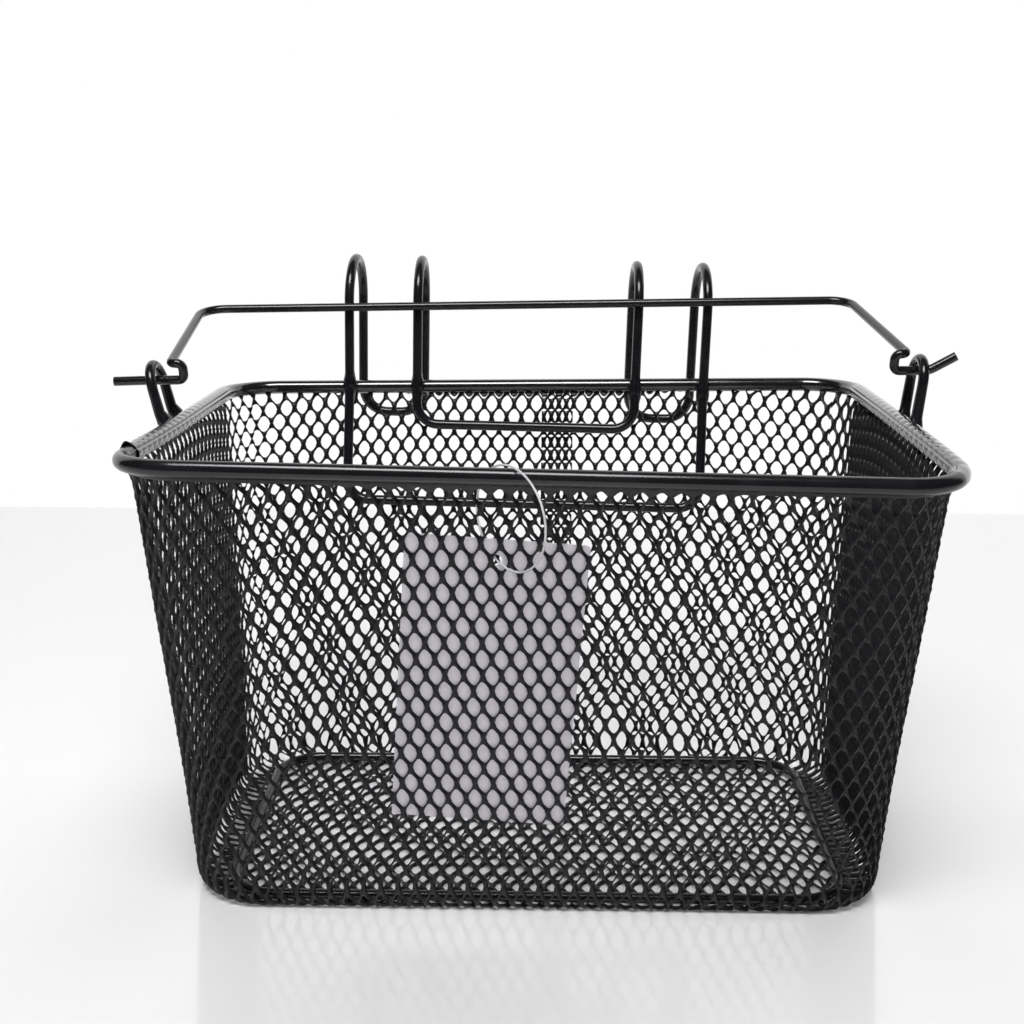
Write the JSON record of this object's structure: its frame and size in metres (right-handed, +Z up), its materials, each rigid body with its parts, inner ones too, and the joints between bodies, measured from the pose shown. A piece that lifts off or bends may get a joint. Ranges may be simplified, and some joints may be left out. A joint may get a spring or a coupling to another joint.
{
  "type": "bicycle basket",
  "caption": "Black coated expanded-metal handlebar basket with tapered mesh walls, wire rim, bent wire hooks, a swinging carry handle and a blank swing tag.",
  "frame": {"origin": "middle of the underside of the base, on the surface that the basket stands on", "axes": "+X to the right seen from the front, +Y to the back with the handlebar hooks, +Z up"},
  "size_m": [0.4067, 0.2935, 0.2764],
  "materials": {
    "coated_steel": "black plastic dip coating, semi-gloss, softly rounded over the mesh",
    "tag_card": "plain grey card, matt",
    "nylon_line": "clear nylon line"
  },
  "bodies": {
    "basket": {"rim_wire": "coated_steel", "rim_hem": "coated_steel", "base_frame": "coated_steel", "base_mesh": "coated_steel", "wall_foot": "coated_steel", "wall_lap": "coated_steel", "hook_frame": "coated_steel", "wall_front": "coated_steel", "wall_right": "coated_steel", "wall_back": "coated_steel", "wall_left": "coated_steel", "corner_front_right": "coated_steel", "corner_back_right": "coated_steel", "corner_back_left": "coated_steel", "corner_front_left": "coated_steel", "handle_loop_left": "coated_steel", "handle_loop_right": "coated_steel"},
    "handle": {"handle_bail": "coated_steel"},
    "tag": {"tag_card": "tag_card", "tag_loop": "nylon_line"}
  },
  "joints": [
    {"name": "handle_swing", "type": "hinge", "parent": "basket", "child": "handle", "pos_m": [-0.00195, 0.0265, 0.22544], "axis": [0.9998, 0, 0.0186], "range_deg": [0, 170]},
    {"name": "tag_swing", "type": "hinge", "parent": "basket", "child": "tag", "pos_m": [-0.01711, -0.1059, 0.18779], "axis": [1, 0, 0], "range_deg": [0, 80]}
  ]
}
